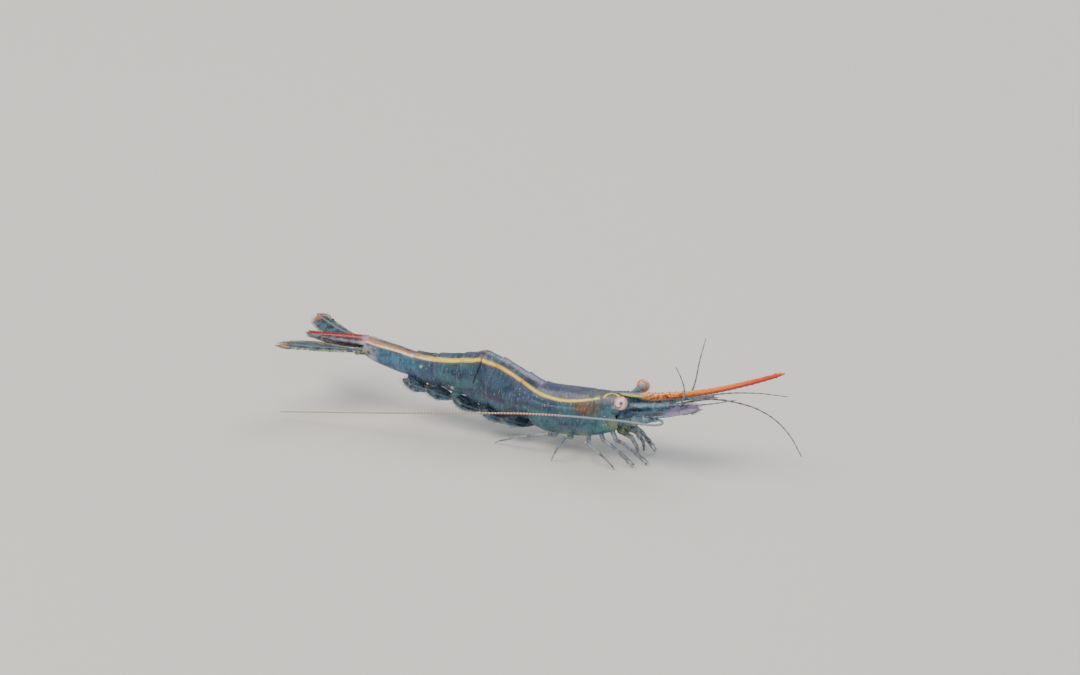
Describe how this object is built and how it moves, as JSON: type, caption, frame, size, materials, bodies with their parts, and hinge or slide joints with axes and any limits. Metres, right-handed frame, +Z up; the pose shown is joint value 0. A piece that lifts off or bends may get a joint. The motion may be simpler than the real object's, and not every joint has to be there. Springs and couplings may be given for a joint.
{
  "type": "freshwater shrimp model",
  "caption": "Still, life-size model of a long-nosed freshwater shrimp standing on its walking legs, with a long upturned red rostrum, stalked eyes, fanned tail and long feelers.",
  "frame": {"origin": "on the floor, under the centre of the whole animal's bounding box", "axes": "+X towards the head, +Y to the animal's left, +Z up from the floor that its feet stand on"},
  "size_m": [0.04, 0.0096, 0.0096],
  "materials": {
    "shell": "translucent dark teal shell, wet gloss",
    "rostrum": "orange-red, satin gloss",
    "eye": "peach, glossy, faceted",
    "fin": "thin translucent blade, wet gloss",
    "limb": "translucent grey-blue, wet gloss",
    "feeler": "thin, banded, satin"
  },
  "bodies": {
    "root": {"abdomen_ring_1": "shell", "abdomen_ring_2": "shell", "abdomen_ring_3": "shell", "abdomen_ring_4": "shell", "abdomen_ring_5": "shell", "abdomen_ring_6": "shell", "antenna_base_left": "limb", "antenna_base_right": "limb", "antenna_left": "feeler", "antenna_right": "feeler", "antenna_scale_left": "fin", "antenna_scale_right": "fin", "antennule_base_left": "limb", "antennule_base_right": "limb", "antennule_inner_left": "feeler", "antennule_inner_right": "feeler", "antennule_outer_left": "feeler", "antennule_outer_right": "feeler", "carapace": "shell", "claw_leg_1_left": "limb", "claw_leg_1_right": "limb", "claw_leg_2_left": "limb", "claw_leg_2_right": "limb", "eye_left": "eye", "eye_right": "eye", "eyestalk_left": "shell", "eyestalk_right": "shell", "maxilliped_left": "limb", "maxilliped_right": "limb", "mouthparts": "shell", "rostrum": "rostrum", "swimming_leg_1_left": "limb", "swimming_leg_1_right": "limb", "swimming_leg_2_left": "limb", "swimming_leg_2_right": "limb", "swimming_leg_3_left": "limb", "swimming_leg_3_right": "limb", "swimming_leg_4_left": "limb", "swimming_leg_4_right": "limb", "swimming_leg_5_left": "limb", "swimming_leg_5_right": "limb", "tail_blade_inner_left": "fin", "tail_blade_inner_right": "fin", "tail_blade_outer_left": "fin", "tail_blade_outer_right": "fin", "telson": "fin", "walking_leg_1_left": "limb", "walking_leg_1_right": "limb", "walking_leg_2_left": "limb", "walking_leg_2_right": "limb", "walking_leg_3_left": "limb", "walking_leg_3_right": "limb"}
  },
  "joints": []
}
